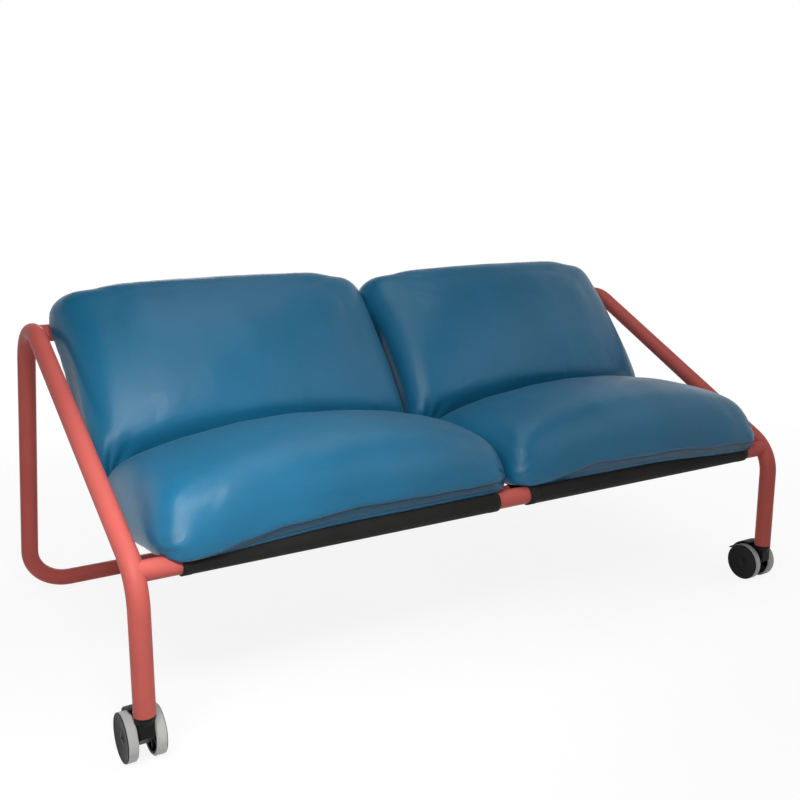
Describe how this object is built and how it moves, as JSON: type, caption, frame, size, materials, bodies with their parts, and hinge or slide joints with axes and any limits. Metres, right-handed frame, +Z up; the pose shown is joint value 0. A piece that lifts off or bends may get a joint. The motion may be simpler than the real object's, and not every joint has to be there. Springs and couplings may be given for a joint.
{
  "type": "office sofa",
  "caption": "Low lounge sofa: coral bent-tube frame with braked front casters and a rear floor rail, black fabric slings sleeved on the rails, and puffy blue seat and back cushions.",
  "frame": {"origin": "on the floor, at the middle of the sofa's width and depth", "axes": "+X along the sofa to the sitter's left, +Y to the back, +Z up"},
  "size_m": [1.5024, 0.845, 0.7067],
  "materials": {
    "frame_coat": "satin powder coat",
    "bare_steel": "zinc plated",
    "caster_plastic": "satin moulded",
    "glide_plastic": "moulded",
    "tread_rubber": "soft, matt",
    "sling_cloth": "plain heavy weave",
    "closure_tape": "hook-and-loop pile",
    "cushion_cover": "coated upholstery cloth with a satin sheen",
    "cushion_foam": "open-cell foam"
  },
  "bodies": {
    "frame": {"front_rail": "frame_coat", "top_rail": "frame_coat", "rear_floor_rail": "frame_coat", "left_side_tube": "frame_coat", "left_splice_spigot": "bare_steel", "left_rear_glide": "glide_plastic", "left_caster_socket": "caster_plastic", "left_caster_stem": "bare_steel", "left_sling": "sling_cloth", "left_front_closure": "closure_tape", "left_top_closure": "closure_tape", "left_seat_cover": "cushion_cover", "left_seat_core": "cushion_foam", "left_back_cover": "cushion_cover", "left_back_core": "cushion_foam", "right_side_tube": "frame_coat", "right_splice_spigot": "bare_steel", "right_rear_glide": "glide_plastic", "right_caster_socket": "caster_plastic", "right_caster_stem": "bare_steel", "right_sling": "sling_cloth", "right_front_closure": "closure_tape", "right_top_closure": "closure_tape", "right_seat_cover": "cushion_cover", "right_seat_core": "cushion_foam", "right_back_cover": "cushion_cover", "right_back_core": "cushion_foam"},
    "left_caster": {"left_caster_yoke": "caster_plastic", "left_wheel_axle": "bare_steel", "left_brake_pin": "bare_steel"},
    "left_outer_wheel": {"left_outer_wheel_core": "caster_plastic", "left_outer_tread": "tread_rubber", "left_outer_hub_cap": "caster_plastic"},
    "left_inner_wheel": {"left_inner_wheel_core": "caster_plastic", "left_inner_tread": "tread_rubber", "left_inner_hub_cap": "caster_plastic"},
    "left_brake": {"left_brake_lever": "caster_plastic"},
    "right_caster": {"right_caster_yoke": "caster_plastic", "right_wheel_axle": "bare_steel", "right_brake_pin": "bare_steel"},
    "right_outer_wheel": {"right_outer_wheel_core": "caster_plastic", "right_outer_tread": "tread_rubber", "right_outer_hub_cap": "caster_plastic"},
    "right_inner_wheel": {"right_inner_wheel_core": "caster_plastic", "right_inner_tread": "tread_rubber", "right_inner_hub_cap": "caster_plastic"},
    "right_brake": {"right_brake_lever": "caster_plastic"}
  },
  "joints": [
    {"name": "left_caster_swivel", "type": "hinge", "parent": "frame", "child": "left_caster", "pos_m": [-0.72, -0.405, 0.0827], "axis": [0, 0, 1], "continuous": true},
    {"name": "left_outer_wheel_spin", "type": "hinge", "parent": "left_caster", "child": "left_outer_wheel", "pos_m": [-0.72, -0.3766, 0.04], "axis": [1, 0, 0], "continuous": true},
    {"name": "left_inner_wheel_spin", "type": "hinge", "parent": "left_caster", "child": "left_inner_wheel", "pos_m": [-0.72, -0.3766, 0.04], "axis": [1, 0, 0], "continuous": true},
    {"name": "left_brake_press", "type": "hinge", "parent": "left_caster", "child": "left_brake", "pos_m": [-0.72, -0.359, 0.062], "axis": [-1, 0, 0], "range_deg": [0, 15]},
    {"name": "right_caster_swivel", "type": "hinge", "parent": "frame", "child": "right_caster", "pos_m": [0.72, -0.405, 0.0827], "axis": [0, 0, 1], "continuous": true},
    {"name": "right_outer_wheel_spin", "type": "hinge", "parent": "right_caster", "child": "right_outer_wheel", "pos_m": [0.72, -0.3766, 0.04], "axis": [1, 0, 0], "continuous": true},
    {"name": "right_inner_wheel_spin", "type": "hinge", "parent": "right_caster", "child": "right_inner_wheel", "pos_m": [0.72, -0.3766, 0.04], "axis": [1, 0, 0], "continuous": true},
    {"name": "right_brake_press", "type": "hinge", "parent": "right_caster", "child": "right_brake", "pos_m": [0.72, -0.359, 0.062], "axis": [-1, 0, 0], "range_deg": [0, 15]}
  ]
}
